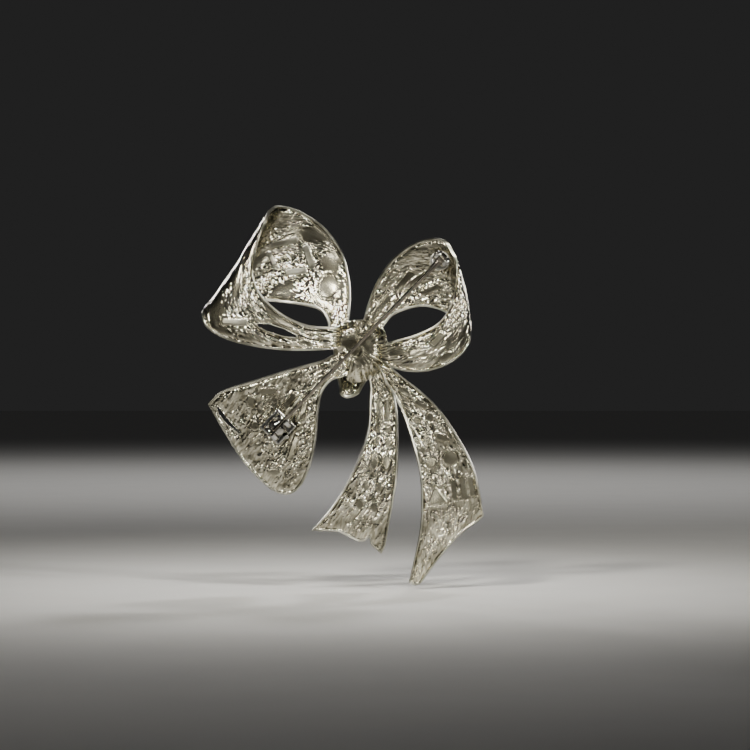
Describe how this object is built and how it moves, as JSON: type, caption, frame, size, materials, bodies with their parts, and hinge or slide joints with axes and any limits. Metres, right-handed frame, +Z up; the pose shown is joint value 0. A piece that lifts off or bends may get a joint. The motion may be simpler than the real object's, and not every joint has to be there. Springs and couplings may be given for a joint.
{
  "type": "brooch",
  "caption": "Ribbon-bow brooch in cast metal with a hinged pin, a turning safety catch and faceted stones on its front",
  "frame": {"origin": "on the flat rear face of the plate behind the knot, where the pin crosses it", "axes": "+Z up as worn, +X to the right seen from the pinned back, -Y towards the garment, +Y towards the jewelled front"},
  "size_m": [0.0537, 0.0153, 0.0728],
  "materials": {
    "plated_metal": "cast white metal with bright rhodium plating, striated along the ribbons, satin on the rims",
    "plate_metal": "smooth satin plated plate",
    "finding_steel": "polished plated steel",
    "crystal": "clear faceted crystal"
  },
  "bodies": {
    "brooch": {"back_plate": "plate_metal", "catch_base": "finding_steel", "centre_knot": "plated_metal", "hinge_base": "finding_steel", "hinge_rivet": "finding_steel", "long_tail": "plated_metal", "long_tail_baguette_1": "crystal", "long_tail_baguette_2": "crystal", "long_tail_baguette_3": "crystal", "long_tail_baguette_4": "crystal", "long_tail_oval_1": "crystal", "long_tail_oval_2": "crystal", "long_tail_oval_3": "crystal", "long_tail_oval_4": "crystal", "long_tail_round_1": "crystal", "long_tail_round_2": "crystal", "long_tail_round_3": "crystal", "long_tail_triangle_1": "crystal", "lower_left_loop": "plated_metal", "lower_left_loop_baguette_1": "crystal", "lower_left_loop_baguette_2": "crystal", "lower_left_loop_baguette_3": "crystal", "lower_left_loop_baguette_4": "crystal", "lower_left_loop_oval_1": "crystal", "lower_left_loop_oval_2": "crystal", "lower_left_loop_round_1": "crystal", "short_tail": "plated_metal", "short_tail_baguette_1": "crystal", "short_tail_baguette_2": "crystal", "short_tail_marquise_1": "crystal", "short_tail_marquise_2": "crystal", "short_tail_oval_1": "crystal", "short_tail_oval_2": "crystal", "short_tail_oval_3": "crystal", "short_tail_oval_4": "crystal", "short_tail_oval_5": "crystal", "short_tail_oval_6": "crystal", "short_tail_round_1": "crystal", "short_tail_round_2": "crystal", "upper_left_loop": "plated_metal", "upper_left_loop_baguette_1": "crystal", "upper_left_loop_baguette_2": "crystal", "upper_left_loop_baguette_3": "crystal", "upper_left_loop_baguette_4": "crystal", "upper_left_loop_baguette_5": "crystal", "upper_left_loop_oval_1": "crystal", "upper_right_loop": "plated_metal", "upper_right_loop_baguette_1": "crystal", "upper_right_loop_baguette_2": "crystal", "upper_right_loop_baguette_3": "crystal", "upper_right_loop_baguette_4": "crystal", "upper_right_loop_baguette_5": "crystal", "upper_right_loop_baguette_6": "crystal", "upper_right_loop_baguette_7": "crystal", "upper_right_loop_oval_1": "crystal"},
    "pin": {"pin_stem": "finding_steel"},
    "safety": {"safety_roller": "finding_steel"}
  },
  "joints": [
    {"name": "pin_swing", "type": "hinge", "parent": "brooch", "child": "pin", "pos_m": [0.0166, -0.0048, 0.0169], "axis": [-0.7161, 0, 0.698], "range_deg": [0, 110]},
    {"name": "safety_turn", "type": "hinge", "parent": "brooch", "child": "safety", "pos_m": [-0.0144, -0.0048, -0.0149], "axis": [-0.698, 0, -0.7161], "range_deg": [0, 90]}
  ]
}
